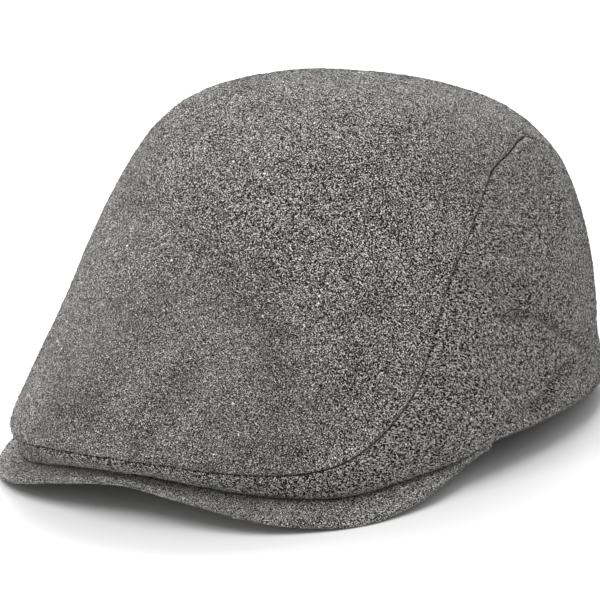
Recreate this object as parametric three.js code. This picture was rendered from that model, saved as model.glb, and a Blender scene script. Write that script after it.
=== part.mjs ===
import * as THREE from 'three';
import { mergeVertices } from 'three/addons/utils/BufferGeometryUtils.js';

// A duckbill flat cap in melange wool cloth, in millimetres with +Z up.
// The peak points along -Y and the wearer's left ear is on +X.
// It stands by itself, on the hem at the back and the two drooping corners of the peak.

// Crown
const crownWidth = 200; // ear to ear, where the cap is widest
const frontReach = 139; // from the head's centre line to the front of the crown
const backReach = 124; // from the head's centre line to the back
const crownHeight = 140.2; // from the floor to the highest point
const hemLift = 18.5; // how high the arched peak holds the hem at the front
const clothWall = 2.2; // wool cloth with its seam allowance turned in
const seamGap = 0.3; // between two pieces of cloth along a seam
const creaseDepth = 2.5; // the deepest of the soft dents in the cloth

// Peak
const peakReveal = 11; // the most that the peak shows past the hem
const peakThickness = 3.2; // a covered stiff board
const peakSlope = 22; // degrees, how steeply the visible edge falls
const peakGap = 0.3; // between the peak and the hem that lies on it
const underHem = 3.2; // how far the peak stays level beneath the folded hem
const browReach = 78; // from the head's centre line to the peak's inner edge
const browRise = 12; // how much higher the inner edge is at the forehead
const tipAngle = 76; // degrees from the front, where the peak ends inside the crown
const tipInset = 8; // from the hem to the inner corner of each peak tip

// Mesh
const sideSteps = 30; // along a side panel
const backSteps = 9; // from a side panel to the middle of the back
const sideRows = 10; // up a side panel
const topRows = 13; // from the seam to the apex
const peakSteps = 48;
const browRows = 4;

// Oval sections of the crown from the hem up. Width, front and back are shares of the reaches
// above, zFront to zBack are shares of the height, square is how full the front corners are, and
// follow is the share of the hem's own line that the section keeps.
const crownSections = [
  {
    name: 'hem', width: 0.99, front: 0.93, back: 1, square: 2.35,
    zFront: 0, zSide: 0, zBack: 0, follow: 1,
  },
  {
    name: 'bulge', width: 1, front: 1, back: 1, square: 2.3,
    zFront: 0.095, zSide: 0.095, zBack: 0.24, follow: 0.8,
  },
  {
    name: 'shoulder', width: 0.893, front: 0.69, back: 0.89, square: 1.7,
    zFront: 0.52, zSide: 0.57, zBack: 0.745, follow: 0.3,
  },
  {
    name: 'crest', width: 0.51, front: 0.415, back: 0.58, square: 2.1,
    zFront: 0.835, zSide: 0.935, zBack: 0.905, follow: 0,
  },
  {
    name: 'apex', width: 0, front: 0, back: 0, square: 2,
    zFront: 1, zSide: 1, zBack: 1, follow: 0,
  },
];
const backSquare = 2.4; // how full the back corners are
const apexLevel = crownSections.length - 1;

// Tables by angle from the front, in degrees, the same on both sides of the cap.
// The hem's height over the floor, as shares of hemLift.
const hemLine = [
  { angle: 0, share: 0.99 },
  { angle: 14, share: 0.855 },
  { angle: 28, share: 0.565 },
  { angle: 40, share: 0.425 },
  { angle: 52, share: 0.503 },
  { angle: 64, share: 0.56 },
  { angle: 75, share: 0.66 },
  { angle: 90, share: 0.585 },
  { angle: 105, share: 0.523 },
  { angle: 125, share: 0.397 },
  { angle: 155, share: 0 },
  { angle: 180, share: 0 },
];
// How far the peak's edge lies past the hem, as shares of peakReveal.
const revealLine = [
  { angle: 0, share: 0.22 },
  { angle: 12, share: 0.44 },
  { angle: 25, share: 0.84 },
  { angle: 38, share: 1 },
  { angle: 50, share: 0.69 },
  { angle: 58, share: 0.27 },
  { angle: 66, share: -0.12 },
  { angle: tipAngle, share: -0.3 },
];
// The long seam between the top and a side panel, in sections counted up from the hem. It ends
// at the side panel's upper corner.
const cornerAngle = 133;
const cornerLevel = 2.41;
const seamLine = [
  { angle: 0, level: 0.89 },
  { angle: 10, level: 0.925 },
  { angle: 20, level: 0.935 },
  { angle: 31, level: 1 },
  { angle: 40, level: 1.09 },
  { angle: 55, level: 1.39 },
  { angle: 70, level: 1.87 },
  { angle: 90, level: 2.28 },
  { angle: 112, level: 2.44 },
  { angle: 125, level: 2.44 },
  { angle: cornerAngle, level: cornerLevel },
];
// The side panel's back edge, where it meets the strip that the top sends down the back: share
// goes from the hem to the upper corner.
const backEdge = [
  { share: 0, angle: 155 },
  { share: 0.3, angle: 153.5 },
  { share: 0.6, angle: 149.5 },
  { share: 0.8, angle: 144.5 },
  { share: 0.92, angle: 139 },
  { share: 1, angle: cornerAngle },
];
// Soft dents where the cloth sinks or swells: angle and level of the middle, half spans,
// and the depth as a share of creaseDepth, where a minus sign is a swelling.
const dents = [
  { angle: -35, level: 2.5, angleSpan: 34, levelSpan: 0.28, share: 0.7 },
  { angle: 28, level: 2.2, angleSpan: 24, levelSpan: 0.45, share: -0.4 },
  { angle: 84, level: 1.45, angleSpan: 13, levelSpan: 0.4, share: 0.8 },
  { angle: 128, level: 0.95, angleSpan: 16, levelSpan: 0.22, share: 0.6 },
  { angle: 112, level: 1.7, angleSpan: 20, levelSpan: 0.4, share: -0.5 },
  { angle: -96, level: 1.35, angleSpan: 16, levelSpan: 0.35, share: 0.7 },
  { angle: -140, level: 1.2, angleSpan: 14, levelSpan: 0.3, share: 0.5 },
];
const dentCentre = 0.3; // height of the point that the dents sink towards, as a share of crownHeight

const turn = (degrees) => THREE.MathUtils.degToRad(degrees);

// The angle from the front, 0 to 180 degrees, of any angle.
function fromFront(degrees) {
  const wrapped = THREE.MathUtils.euclideanModulo(degrees + 180, 360) - 180;
  return Math.abs(wrapped);
}

// A smooth line through a table's entries, at a place in its key column. It is level at both ends
// and wherever the entries turn back or stay the same.
function along(table, key, column, place) {
  const last = table.length - 1;
  const at = THREE.MathUtils.clamp(place, table[0][key], table[last][key]);
  let k = 0;
  while (k < last - 1 && at >= table[k + 1][key]) k += 1;
  const slopeAt = (i) => {
    if (i === 0 || i === last) return 0;
    const before = table[i][column] - table[i - 1][column];
    const after = table[i + 1][column] - table[i][column];
    if (before * after <= 0) return 0;
    return (table[i + 1][column] - table[i - 1][column]) / (table[i + 1][key] - table[i - 1][key]);
  };
  const span = table[k + 1][key] - table[k][key];
  const t = (at - table[k][key]) / span;
  const rise = t * t * (3 - 2 * t);
  const leave = t * (1 - t) * (1 - t) * span * slopeAt(k);
  const arrive = t * t * (t - 1) * span * slopeAt(k + 1);
  return table[k][column] * (1 - rise) + table[k + 1][column] * rise + leave + arrive;
}

const hemHeight = (degrees) => hemLift * along(hemLine, 'angle', 'share', fromFront(degrees));
const seamLevel = (degrees) => along(seamLine, 'angle', 'level', fromFront(degrees));

// A point of one oval section.
function onSection(section, degrees) {
  const s = Math.sin(turn(degrees));
  const c = Math.cos(turn(degrees));
  const half = (section.width * crownWidth) / 2;
  const reach = c >= 0 ? section.front * frontReach : section.back * backReach;
  const square = c >= 0 ? section.square : backSquare;
  const zEnd = c >= 0 ? section.zFront : section.zBack;
  const z = (section.zSide * s * s + zEnd * c * c) * crownHeight + section.follow * hemHeight(degrees);
  if (half === 0) return new THREE.Vector3(0, 0, z);
  const r = (Math.abs(s / half) ** square + Math.abs(c / reach) ** square) ** (-1 / square);
  return new THREE.Vector3(r * s, -r * c, z);
}

// The line up the crown at one angle, over the top and a little beyond it.
function upTheCrown(degrees) {
  const points = crownSections.map((section) => onSection(section, degrees));
  points.unshift(points[0].clone().multiplyScalar(2).sub(points[1]));
  points.push(onSection(crownSections[apexLevel - 1], degrees + 180));
  return new THREE.CatmullRomCurve3(points, false, 'centripetal');
}

// How deep all the dents together are at a place on the crown.
function dentAt(degrees, level) {
  let depth = 0;
  for (const dent of dents) {
    const off = THREE.MathUtils.euclideanModulo(degrees - dent.angle + 180, 360) - 180;
    const across = off / dent.angleSpan;
    const up = (level - dent.level) / dent.levelSpan;
    depth += dent.share * Math.exp(-across * across - up * up);
  }
  return depth * creaseDepth;
}

// A point of the crown's outer face: level 0 is the hem and apexLevel the top.
function onCrown(degrees, level) {
  const line = upTheCrown(degrees);
  const point = line.getPoint((level + 1) / (apexLevel + 2));
  const inward = new THREE.Vector3(0, 0, dentCentre * crownHeight).sub(point).normalize();
  return point.addScaledVector(inward, dentAt(degrees, level));
}

// The outward normal of the crown.
function crownNormal(degrees, level) {
  const nearTop = 0.02;
  if (level > apexLevel - nearTop) return new THREE.Vector3(0, 0, 1);
  const step = 0.01;
  const side = onCrown(degrees + 1, level).sub(onCrown(degrees - 1, level));
  const up = onCrown(degrees, level + step).sub(onCrown(degrees, Math.max(0, level - step)));
  return side.cross(up).normalize();
}

function insideCrown(degrees, level) {
  const point = onCrown(degrees, level);
  const inner = point.clone().addScaledVector(crownNormal(degrees, level), -clothWall);
  if (level === 0) inner.z = point.z; // the hem is cut level
  return inner;
}

// Half a seam's gap, as degrees round the crown and as levels up it.
function halfGap(degrees, level) {
  const step = 0.02;
  const round = onCrown(degrees + 1, level).distanceTo(onCrown(degrees - 1, level)) / 2;
  const up = onCrown(degrees, level + step).distanceTo(onCrown(degrees, level - step)) / (2 * step);
  return { degrees: seamGap / 2 / round, levels: seamGap / 2 / up };
}

// A face of three points, left out where two of them are one.
function addFace(positions, a, b, c) {
  const tiny = 1e-5;
  if (a.distanceTo(b) < tiny || b.distanceTo(c) < tiny || c.distanceTo(a) < tiny) return;
  positions.push(...a.toArray(), ...b.toArray(), ...c.toArray());
}

function closedGeometry(positions) {
  const geometry = new THREE.BufferGeometry();
  geometry.setAttribute('position', new THREE.Float32BufferAttribute(positions, 3));
  return mergeVertices(geometry, 1e-4);
}

// A closed wall of cloth over patches of the crown. A patch is a grid of places, each with its
// degrees and level, and patches that share an edge share its places.
function clothWallOver(patches) {
  const spots = new Map();
  const spotAt = ({ degrees, level }) => {
    const outer = onCrown(degrees, level);
    const key = outer.toArray().map((value) => Math.round(value * 1000)).join();
    if (!spots.has(key)) {
      spots.set(key, { id: spots.size, outer, inner: insideCrown(degrees, level) });
    }
    return spots.get(key);
  };
  const positions = [];
  const edges = new Map();
  const cloth = (a, b, c) => {
    if (a === b || b === c || c === a) return;
    addFace(positions, a.outer, b.outer, c.outer);
    addFace(positions, a.inner, c.inner, b.inner);
    for (const [from, to] of [[a, b], [b, c], [c, a]]) edges.set(`${from.id} ${to.id}`, [from, to]);
  };
  for (const patch of patches) {
    const grid = patch.map((row) => row.map(spotAt));
    for (let i = 0; i < grid.length - 1; i += 1) {
      for (let j = 0; j < grid[i].length - 1; j += 1) {
        const [a, b, c, d] = [grid[i][j], grid[i + 1][j], grid[i + 1][j + 1], grid[i][j + 1]];
        cloth(a, b, c);
        cloth(a, c, d);
      }
    }
  }
  // The cut edge of the cloth, wherever no other face goes on.
  for (const [from, to] of edges.values()) {
    if (edges.has(`${to.id} ${from.id}`)) continue;
    addFace(positions, to.outer, from.outer, from.inner);
    addFace(positions, to.outer, from.inner, to.inner);
  }
  return closedGeometry(positions);
}

// A grid of places, with one row for each of its columns round the crown.
function patchOf(columns, rows, placeAt) {
  const patch = [];
  for (let i = 0; i <= columns; i += 1) {
    const row = [];
    for (let j = 0; j <= rows; j += 1) row.push(placeAt(i / columns, j / rows));
    patch.push(row);
  }
  return patch;
}

// The same patch on the wearer's right, turned so that it still faces out.
const mirrored = (patch) => {
  const across = (place) => ({ ...place, degrees: -place.degrees });
  return patch.map((row) => row.map(across)).reverse();
};

// The top: the large panel up from the long seams, and the strip that it sends down the back.
function topPanel() {
  const above = (degrees) => {
    const seam = seamLevel(degrees);
    return seam + halfGap(degrees, seam).levels;
  };
  const front = patchOf(sideSteps, topRows, (t, v) => {
    const degrees = cornerAngle * t;
    return { degrees, level: THREE.MathUtils.lerp(above(degrees), apexLevel, v) };
  });
  const back = patchOf(backSteps, topRows, (t, v) => {
    const degrees = THREE.MathUtils.lerp(cornerAngle, 180, t);
    return { degrees, level: THREE.MathUtils.lerp(above(cornerAngle), apexLevel, v) };
  });
  const strip = patchOf(backSteps, sideRows, (t, v) => {
    if (v === 1) return { degrees: THREE.MathUtils.lerp(cornerAngle, 180, t), level: above(cornerAngle) };
    const level = cornerLevel * v;
    const edge = along(backEdge, 'share', 'angle', v);
    return { degrees: THREE.MathUtils.lerp(edge + halfGap(edge, level).degrees, 180, t), level };
  });
  const left = [front, back, strip];
  return clothWallOver([...left, ...left.map(mirrored)]);
}

// A side panel, from the short seam at the front round to the strip at the back.
function sidePanel() {
  return patchOf(sideSteps, sideRows, (t, v) => {
    const top = cornerAngle * t;
    const seam = seamLevel(top);
    const level = (seam - halfGap(top, seam).levels) * v;
    const edge = along(backEdge, 'share', 'angle', v);
    const low = halfGap(0, level).degrees;
    const high = edge - halfGap(edge, level).degrees;
    return { degrees: THREE.MathUtils.clamp(edge * t, low, high), level };
  });
}

// A point in plan that lies past the hem, or inside it where the distance is less than 0.
function besideHem(degrees, distance) {
  const hem = crownSections[0];
  const here = onSection(hem, degrees);
  const edge = onSection(hem, degrees + 1).sub(onSection(hem, degrees - 1));
  const out = new THREE.Vector3(-edge.y, edge.x, 0).normalize();
  if (out.dot(here) < 0) out.negate();
  return here.addScaledVector(out, distance);
}

// The peak's inner edge, an arc round the forehead from tip to tip.
function onBrow(degrees) {
  const tip = besideHem(tipAngle, -tipInset);
  const swing = turn((90 * degrees) / tipAngle);
  const y = THREE.MathUtils.lerp(tip.y, -browReach, Math.cos(swing));
  return new THREE.Vector3(tip.x * Math.sin(swing), y, 0);
}

// The peak's section at one angle: over the top from the brow to the edge, and back beneath.
function peakLoop(degrees) {
  const reveal = peakReveal * along(revealLine, 'angle', 'share', fromFront(degrees));
  const leastReveal = 0.6;
  const atHem = reveal - Math.max(reveal, leastReveal);
  const fall = Math.tan(turn(peakSlope));
  const level = hemHeight(degrees) - peakGap;
  const top = [reveal, atHem, atHem - underHem].map((distance) => {
    const point = besideHem(degrees, distance);
    point.z = level - fall * Math.max(0, distance);
    return point;
  });
  const brow = onBrow(degrees);
  brow.z = level + browRise * Math.cos(turn((90 * degrees) / tipAngle));
  const fromHem = top[2];
  for (let i = 1; i <= browRows; i += 1) top.push(fromHem.clone().lerp(brow, i / browRows));
  const under = top.map((point) => point.clone().setZ(point.z - peakThickness));
  const edge = besideHem(degrees, reveal + peakThickness / 4);
  const upper = edge.clone().setZ(top[0].z - peakThickness / 3);
  const lower = edge.clone().setZ(top[0].z - (2 * peakThickness) / 3);
  return [lower, ...under, ...top.reverse(), upper];
}

// The peak, a closed body through its sections from tip to tip.
function peakBody() {
  const loops = [];
  for (let i = 0; i <= peakSteps; i += 1) {
    loops.push(peakLoop(THREE.MathUtils.lerp(tipAngle, -tipAngle, i / peakSteps)));
  }
  const positions = [];
  const count = loops[0].length;
  for (let i = 0; i < peakSteps; i += 1) {
    for (let j = 0; j < count; j += 1) {
      const k = (j + 1) % count;
      addFace(positions, loops[i][j], loops[i + 1][j], loops[i + 1][k]);
      addFace(positions, loops[i][j], loops[i + 1][k], loops[i][k]);
    }
  }
  // Each tip is closed by a strip between its upper and its lower line.
  const closeTip = (loop) => {
    for (let j = 0; j < count / 2 - 1; j += 1) {
      addFace(positions, loop[j], loop[j + 1], loop[count - 2 - j]);
      addFace(positions, loop[j], loop[count - 2 - j], loop[count - 1 - j]);
    }
  };
  closeTip(loops[0]);
  closeTip(loops[peakSteps].slice().reverse());
  return closedGeometry(positions);
}

// Grey melange wool on every piece, the peak a shade darker in the shadow of the crown.
const wool = { color: 0x6f6e6c, roughness: 0.95, metalness: 0 };
const peakWool = { ...wool, color: 0x6a6967 };

function piece(name, geometry, finish) {
  const mesh = new THREE.Mesh(geometry, new THREE.MeshStandardMaterial(finish));
  mesh.name = name;
  return mesh;
}

const cap = new THREE.Group();
cap.add(piece('top_panel', topPanel(), wool));
cap.add(piece('side_panel_left', clothWallOver([sidePanel()]), wool));
cap.add(piece('side_panel_right', clothWallOver([mirrored(sidePanel())]), wool));
cap.add(piece('peak', peakBody(), peakWool));

// The origin is the middle of the footprint, on the floor.
const bounds = new THREE.Box3().setFromObject(cap);
const middle = bounds.getCenter(new THREE.Vector3());
cap.position.set(-middle.x, -middle.y, -bounds.min.z);

export default cap;
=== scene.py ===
import bmesh
import bpy
import numpy as np
from mathutils import Matrix, Vector, kdtree, noise


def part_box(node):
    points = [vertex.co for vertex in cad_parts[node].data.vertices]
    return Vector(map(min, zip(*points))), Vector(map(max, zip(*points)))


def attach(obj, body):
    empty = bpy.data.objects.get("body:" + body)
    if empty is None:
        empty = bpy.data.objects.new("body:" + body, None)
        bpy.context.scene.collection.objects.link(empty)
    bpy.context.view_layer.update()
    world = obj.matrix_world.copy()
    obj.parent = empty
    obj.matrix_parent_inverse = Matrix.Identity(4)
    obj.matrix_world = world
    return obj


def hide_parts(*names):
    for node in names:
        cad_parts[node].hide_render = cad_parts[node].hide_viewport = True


# A duckbill flat cap in grey melange wool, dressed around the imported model. Everything is in
# metres: the peak points along -Y, the wearer's left is +X and +Z is up.

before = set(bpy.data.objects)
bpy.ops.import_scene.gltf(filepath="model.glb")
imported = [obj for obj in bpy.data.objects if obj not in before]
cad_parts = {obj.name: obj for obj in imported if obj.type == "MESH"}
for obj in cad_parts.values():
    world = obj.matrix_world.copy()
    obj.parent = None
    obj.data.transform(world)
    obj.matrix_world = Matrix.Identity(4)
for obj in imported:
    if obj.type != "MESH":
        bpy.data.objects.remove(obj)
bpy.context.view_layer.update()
print("frame loaded:", len(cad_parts), "nodes")

mm = 0.001

# The crown's form, the same as in the model. A place on it is an angle round from the front, positive
# on the wearer's left, and a level, which counts the sections from the hem up.
crown = {
    "width": 200 * mm,  # ear to ear
    "front": 139 * mm,  # from the head's centre line to the front
    "back": 124 * mm,
    "height": 140.2 * mm,
    "hemLift": 18.5 * mm,  # how high the arched peak holds the hem in front
    "backSquare": 2.4,  # 2 is an ellipse, and more is squarer
    "wall": 2.2 * mm,
    "creaseDepth": 2.5 * mm,  # depth of a dent whose share is 1
    "dentCentre": 0.3,  # height that the dents sink towards, as a share of the height
    "cornerAngle": 133,  # where the long seam turns down the back
    "cornerLevel": 2.41,
}
# The sections' sizes are shares of the crown's, and follow is how much of the hem's rise they keep
crownSections = [
    dict(width=0.99, front=0.93, back=1, square=2.35, zFront=0, zSide=0, zBack=0, follow=1),
    dict(width=1, front=1, back=1, square=2.3, zFront=0.095, zSide=0.095, zBack=0.24, follow=0.8),
    dict(width=0.893, front=0.69, back=0.89, square=1.7, zFront=0.52, zSide=0.57, zBack=0.745, follow=0.3),
    dict(width=0.51, front=0.415, back=0.58, square=2.1, zFront=0.835, zSide=0.935, zBack=0.905, follow=0),
    dict(width=0, front=0, back=0, square=2, zFront=1, zSide=1, zBack=1, follow=0),
]
apexLevel = len(crownSections) - 1
# Degrees from the front, and the hem's rise as a share of hemLift or the level of the long seam
hemLine = [(0, 0.99), (14, 0.855), (28, 0.565), (40, 0.425), (52, 0.503), (64, 0.56), (75, 0.66),
           (90, 0.585), (105, 0.523), (125, 0.397), (155, 0), (180, 0)]
seamLine = [(0, 0.89), (10, 0.925), (20, 0.935), (31, 1), (40, 1.09), (55, 1.39), (70, 1.87),
            (90, 2.28), (112, 2.44), (125, 2.44), (133, 2.41)]
# Share of the way up from the hem to the corner, and the angle of the strip's edge there
backEdge = [(0, 155), (0.3, 153.5), (0.6, 149.5), (0.8, 144.5), (0.92, 139), (1, 133)]
# Angle, level, spans of both and depth of each broad dent, the last as a share of creaseDepth
dents = [
    (-35, 2.5, 34, 0.28, 0.7), (28, 2.2, 24, 0.45, -0.4), (84, 1.45, 13, 0.4, 0.8),
    (128, 0.95, 16, 0.22, 0.6), (112, 1.7, 20, 0.4, -0.5), (-96, 1.35, 16, 0.35, 0.7),
    (-140, 1.2, 14, 0.3, 0.5),
]

# Folds that the soft cloth keeps: half of each one's width, how deep it lies and the places along it
folds = [
    {"half": 1.7 * mm, "depth": 3.1 * mm,
     "places": [(80, 1.64), (87, 1.59), (96, 1.54), (102, 1.43), (110, 1.27), (119, 1.01), (121, 0.7)]},
    {"half": 2.4 * mm, "depth": 2.6 * mm,
     "places": [(112, 1.11), (104, 1.11), (98, 1.03), (94, 0.88), (85, 0.84)]},
    {"half": 3.4 * mm, "depth": 2.4 * mm,
     "places": [(74, 1.93), (82, 1.81), (88, 1.71), (97, 1.55)]},
    {"half": 5 * mm, "depth": 2.8 * mm,
     "places": [(133, 2.23), (120, 2.09), (114, 1.97), (110, 1.8)]},
    {"half": 4 * mm, "depth": 1.8 * mm,
     "places": [(70, 1.7), (76, 1.63), (82, 1.56)]},
    {"half": 7 * mm, "depth": 1.8 * mm,
     "places": [(-60, 2.2), (-49, 2.29), (-21, 2.55), (1, 2.61), (18, 2.55), (34, 2.5)]},
    {"half": 2.4 * mm, "depth": 0.8 * mm,
     "places": [(-78, 1.7), (-90, 1.6), (-101, 1.38), (-114, 1.12)]},
    {"half": 3.2 * mm, "depth": 0.9 * mm,
     "places": [(-120, 1.75), (-131, 1.5), (-139, 1.15)]},
    {"half": 3.6 * mm, "depth": 2.4 * mm,
     "places": [(-78, 0.6), (-62, 0.7), (-46, 0.72), (-30, 0.6), (-14, 0.5)]},
    {"half": 3.4 * mm, "depth": 0.8 * mm,
     "places": [(160, 1.9), (171, 1.72), (184, 1.7), (197, 1.86)]},
]
foldShape = {
    "steps": 30,  # points drawn along a fold for each of its places
    "ease": 4,  # how far in from its ends a fold is full, in halves of its width
    "lift": 0.35,  # how much the cloth rises beside it, as a share of its depth
    "liftAt": 2,  # where, in halves of its width, and over what span
    "liftSpan": 1.1,
}


def along(table, place):  # a smooth line through a table's rows, level where they turn back
    keys, values = (np.array(column, float) for column in zip(*table))
    slopes = np.zeros(len(keys))
    steps = np.diff(values)
    steady = steps[:-1] * steps[1:] > 0
    slopes[1:-1] = np.where(steady, (values[2:] - values[:-2]) / (keys[2:] - keys[:-2]), 0)
    at = np.clip(place, keys[0], keys[-1])
    k = np.clip(np.searchsorted(keys, at, side="right") - 1, 0, len(keys) - 2)
    span = keys[k + 1] - keys[k]
    t = (at - keys[k]) / span
    rise = t * t * (3 - 2 * t)
    leave = t * (1 - t) ** 2 * span * slopes[k]
    arrive = t * t * (t - 1) * span * slopes[k + 1]
    return values[k] * (1 - rise) + values[k + 1] * rise + leave + arrive


def fromFront(degrees):
    return np.abs((np.asarray(degrees, float) + 180) % 360 - 180)


def hemHeight(degrees):
    return crown["hemLift"] * along(hemLine, fromFront(degrees))


def seamLevel(degrees):
    return along(seamLine, fromFront(degrees))


def onSection(section, degrees):
    s, c = np.sin(np.radians(degrees)), np.cos(np.radians(degrees))
    z = (section["zSide"] * s * s + np.where(c >= 0, section["zFront"], section["zBack"]) * c * c)
    z = z * crown["height"] + section["follow"] * hemHeight(degrees)
    if section["width"] == 0:
        return np.stack([0 * s, 0 * s, z], -1)
    half = section["width"] * crown["width"] / 2
    reach = np.where(c >= 0, section["front"] * crown["front"], section["back"] * crown["back"])
    square = np.where(c >= 0, section["square"], crown["backSquare"])
    r = (np.abs(s / half) ** square + np.abs(c / reach) ** square) ** (-1 / square)
    return np.stack([r * s, -r * c, z], -1)


def dentAt(degrees, level):
    depth = 0
    for angle, middle, angleSpan, levelSpan, share in dents:
        across = ((degrees - angle + 180) % 360 - 180) / angleSpan
        depth = depth + share * np.exp(-across ** 2 - ((level - middle) / levelSpan) ** 2)
    return depth * crown["creaseDepth"]


def onCrown(degrees, level):  # centripetal Catmull-Rom lines up the crown, from hem to apex
    degrees, level = np.broadcast_arrays(np.asarray(degrees, float), np.asarray(level, float))
    shape = degrees.shape
    degrees, level = degrees.ravel(), level.ravel()
    rings = [onSection(section, degrees) for section in crownSections]
    beyond = onSection(crownSections[-2], degrees + 180)
    points = np.stack([2 * rings[0] - rings[1], *rings, beyond])
    k = np.clip(np.floor(level).astype(int), 0, apexLevel - 1)
    every = np.arange(len(k))
    a, b, c, d = (points[k + i, every] for i in range(4))
    g0, g1, g2 = (np.linalg.norm(q - p, axis=-1, keepdims=True) ** 0.5 for p, q in ((a, b), (b, c), (c, d)))
    leave = ((b - a) / g0 - (c - a) / (g0 + g1) + (c - b) / g1) * g1
    arrive = ((c - b) / g1 - (d - b) / (g1 + g2) + (d - c) / g2) * g1
    t = (level - k)[:, None]
    line = b + t * (leave + t * (3 * (c - b) - 2 * leave - arrive + t * (2 * (b - c) + leave + arrive)))
    inward = np.array([0, 0, crown["dentCentre"] * crown["height"]]) - line
    inward /= np.linalg.norm(inward, axis=-1, keepdims=True)
    return (line + inward * dentAt(degrees, level)[:, None]).reshape(*shape, 3)


def unit(vectors):
    return vectors / np.maximum(np.linalg.norm(vectors, axis=-1, keepdims=True), 1e-12)


def crownNormal(degrees, level):
    nearTop, step = 0.02, 0.01
    level = np.minimum(level, apexLevel - nearTop)
    side = onCrown(degrees + 1, level) - onCrown(degrees - 1, level)
    up = onCrown(degrees, level + step) - onCrown(degrees, np.maximum(0, level - step))
    return unit(np.cross(side, up))


def halfGap(degrees, level):  # half a seam's gap, as degrees round the crown and levels up it
    step = 0.02
    around = np.linalg.norm(onCrown(degrees + 1, level) - onCrown(degrees - 1, level), axis=-1) / 2
    rise = onCrown(degrees, level + step) - onCrown(degrees, level - step)
    up = np.linalg.norm(rise, axis=-1) / (2 * step)
    return cloth["seamOpen"] / 2 / around, cloth["seamOpen"] / 2 / up


# The model stands over the middle of its footprint, which lies a little in front of the head's
# centre line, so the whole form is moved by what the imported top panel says.
toFrame = np.array([0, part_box("top_panel")[1].y - crown["back"], 0])

# How the cloth behaves where it is sewn or turned
cloth = {
    "seamRoll": 1.1 * mm,  # radius with which the cloth turns down into a seam
    "seamOpen": 0.42 * mm,  # how far apart the two cloths lie at a seam
    "pinch": 0.6,  # how unevenly a seam is drawn in, as a share of its roll
    "pinchLength": 11 * mm,
    "pinchGain": 1.6,  # brings the noise nearer to its full range
    "hemRoll": 2.8 * mm,  # radius of the folded lower edge
    "hemSwell": 1.2 * mm,  # how far the folded cloth stands out over that edge
    "hemSwellSpan": 5 * mm,
    "allowance": 3.2 * mm,  # where the seam allowance under the cloth lies thickest
    "allowanceRise": 0.22 * mm,
    "puckerDepth": 0.42 * mm,
    "puckerLength": 5.5 * mm,  # from one pucker to the next, along the seam
    "puckerReach": 6 * mm,  # how far a pucker runs out from the seam
    "puckerFade": 1.5,  # how suddenly it ends there
    "swellDepth": 0.4 * mm,  # slow unevenness of soft cloth
    "swellLength": 30 * mm,
    "rippleDepth": 0.12 * mm,
    "rippleLength": 9 * mm,
    "hemTurn": 18 * mm,  # height of the hem allowance inside
    "hemTurnRise": 0.7 * mm,
    "hemTurnFade": 1 * mm,
    "bareFoot": 3 * mm,  # no loose fibres below this height, where the cap stands
    "bareFootFade": 2 * mm,
    "bareSeam": 0.5 * mm,  # nor this close to a seam
    "bareSeamFade": 1 * mm,
    # Around this middle the front is also painted lighter in the wool, a painted pool of light
    "wornAndPaintedLightAt": (12 * mm, -118 * mm, 38 * mm),  # the middle of the smoother front
    "wornAndPaintedLightFrom": 45 * mm,
    "wornAndPaintedLightTo": 95 * mm,  # where the cloth is rough again
    "wornNap": 0.3,  # share of the loose fibres that the smoother front keeps
    "edgeRows": 8,  # mesh rows drawn close together beside an edge
    "edgeBand": 3 * mm,  # how far those rows reach
    "edgeMost": 0.25,  # and how much of a short column at most
    "edgeCrowd": 1.5,  # how much closer they lie at the edge itself
    "lineSteps": 400,  # points drawn along a seam or hem
    "columnSteps": 121,  # points that a column of the mesh is measured from
    "seamApart": 0.1,  # metres of noise between one seam's puckers and the next one's
}
noiseSeeds = {"swell": 1, "ripple": 2, "pucker": 3, "peak": 9, "pinch": 11}


def edgeLine(name, side):  # each seam and hem as points on the crown, side is 1 on the wearer's left
    share = np.linspace(0, 1, cloth["lineSteps"])
    if name == "long":
        angle = crown["cornerAngle"] * share
        return onCrown(side * angle, seamLevel(angle))
    if name == "back":
        return onCrown(side * along(backEdge, share), crown["cornerLevel"] * share)
    if name == "front":
        return onCrown(0 * share, seamLine[0][1] * share)
    return onCrown(side * 180 * share, 0 * share)


def nearLine(points, line):  # distance from each point to a line, and how far along it that is
    tree = kdtree.KDTree(len(line))
    for i, place in enumerate(line.tolist()):
        tree.insert(place, i)
    tree.balance()
    nearest = np.array([tree.find(place)[1] for place in points.tolist()])
    lengths = np.concatenate([[0], np.cumsum(np.linalg.norm(np.diff(line, axis=0), axis=-1))])
    best, place = np.full(len(points), np.inf), np.zeros(len(points))
    for start in (np.maximum(nearest - 1, 0), np.minimum(nearest, len(line) - 2)):
        a, b = line[start], line[start + 1]
        t = np.clip(np.sum((points - a) * (b - a), -1) / np.sum((b - a) ** 2, -1), 0, 1)
        gap = np.linalg.norm(points - a - t[:, None] * (b - a), axis=-1)
        closer = gap < best
        best = np.where(closer, gap, best)
        place = np.where(closer, lengths[start] + t * (lengths[start + 1] - lengths[start]), place)
    return best, place


def noiseAt(points, length, seed):  # smooth noise from -1 to 1 whose bumps are one length apart
    offset = Vector((seed * 13.7, seed * 7.3, seed * 3.1))
    return np.array([noise.noise(Vector(p) + offset) for p in (points / length).tolist()])


def rollDown(distance, radius):  # how far a rounded edge has turned down, from 0 to its radius
    inside = np.clip(radius - np.maximum(distance - cloth["seamOpen"] / 2, 0), 0, radius)
    return radius - np.sqrt(np.maximum(radius ** 2 - inside ** 2, 0))


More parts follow.
